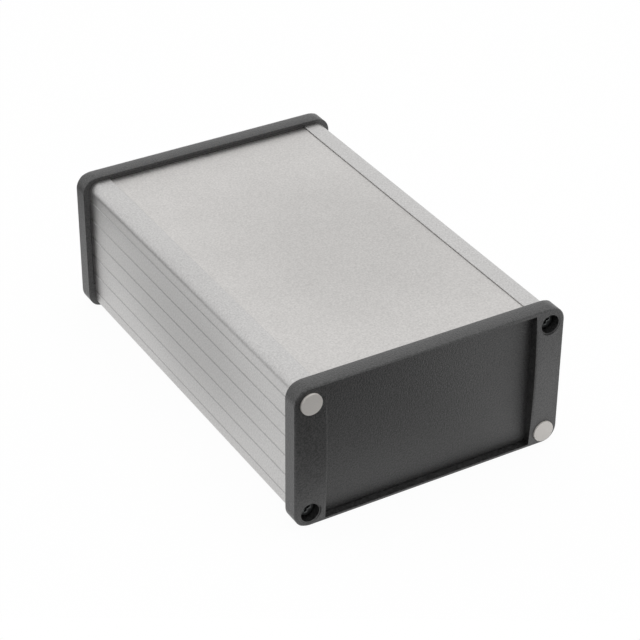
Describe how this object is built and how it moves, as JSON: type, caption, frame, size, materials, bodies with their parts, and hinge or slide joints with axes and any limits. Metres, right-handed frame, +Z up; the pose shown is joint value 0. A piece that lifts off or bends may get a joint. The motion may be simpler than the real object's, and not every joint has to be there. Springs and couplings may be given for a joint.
{
  "type": "extruded enclosure",
  "caption": "Grooved aluminium profile enclosure with a sliding cover plate, dark moulded end bezels, inset end panels, corner screws and push-in screw plugs.",
  "frame": {"origin": "middle of the footprint, on the surface that the bezels stand on", "axes": "+Z up, +Y from the front end to the rear end along the profile, +X to the right as seen from the front"},
  "size_m": [0.112, 0.1766, 0.0594],
  "materials": {
    "profile_aluminium": "clear anodised, satin",
    "plate_aluminium": "clear anodised, satin",
    "bezel_plastic": "fine grain",
    "panel_plastic": "fine grain",
    "plug_plastic": "smooth matte",
    "screw_steel": "blackened"
  },
  "bodies": {
    "housing": {"body_extrusion": "profile_aluminium", "cover_plate": "plate_aluminium", "front_bezel": "bezel_plastic", "front_panel": "panel_plastic", "rear_bezel": "bezel_plastic", "rear_panel": "panel_plastic", "front_screw_upper_left": "screw_steel", "front_screw_upper_right": "screw_steel", "front_screw_lower_left": "screw_steel", "front_screw_lower_right": "screw_steel", "rear_screw_upper_left": "screw_steel", "rear_screw_upper_right": "screw_steel", "rear_screw_lower_left": "screw_steel", "rear_screw_lower_right": "screw_steel"},
    "front_plug_upper_left": {"front_plug_upper_left": "plug_plastic"},
    "front_plug_lower_right": {"front_plug_lower_right": "plug_plastic"},
    "rear_plug_upper_left": {"rear_plug_upper_left": "plug_plastic"},
    "rear_plug_upper_right": {"rear_plug_upper_right": "plug_plastic"},
    "rear_plug_lower_left": {"rear_plug_lower_left": "plug_plastic"},
    "rear_plug_lower_right": {"rear_plug_lower_right": "plug_plastic"}
  },
  "joints": [
    {"name": "front_plug_upper_left_pull", "type": "slide", "parent": "housing", "child": "front_plug_upper_left", "axis": [0, -1, 0], "range_m": [0, 0.008]},
    {"name": "front_plug_lower_right_pull", "type": "slide", "parent": "housing", "child": "front_plug_lower_right", "axis": [0, -1, 0], "range_m": [0, 0.008]},
    {"name": "rear_plug_upper_left_pull", "type": "slide", "parent": "housing", "child": "rear_plug_upper_left", "axis": [0, 1, 0], "range_m": [0, 0.008]},
    {"name": "rear_plug_upper_right_pull", "type": "slide", "parent": "housing", "child": "rear_plug_upper_right", "axis": [0, 1, 0], "range_m": [0, 0.008]},
    {"name": "rear_plug_lower_left_pull", "type": "slide", "parent": "housing", "child": "rear_plug_lower_left", "axis": [0, 1, 0], "range_m": [0, 0.008]},
    {"name": "rear_plug_lower_right_pull", "type": "slide", "parent": "housing", "child": "rear_plug_lower_right", "axis": [0, 1, 0], "range_m": [0, 0.008]}
  ]
}
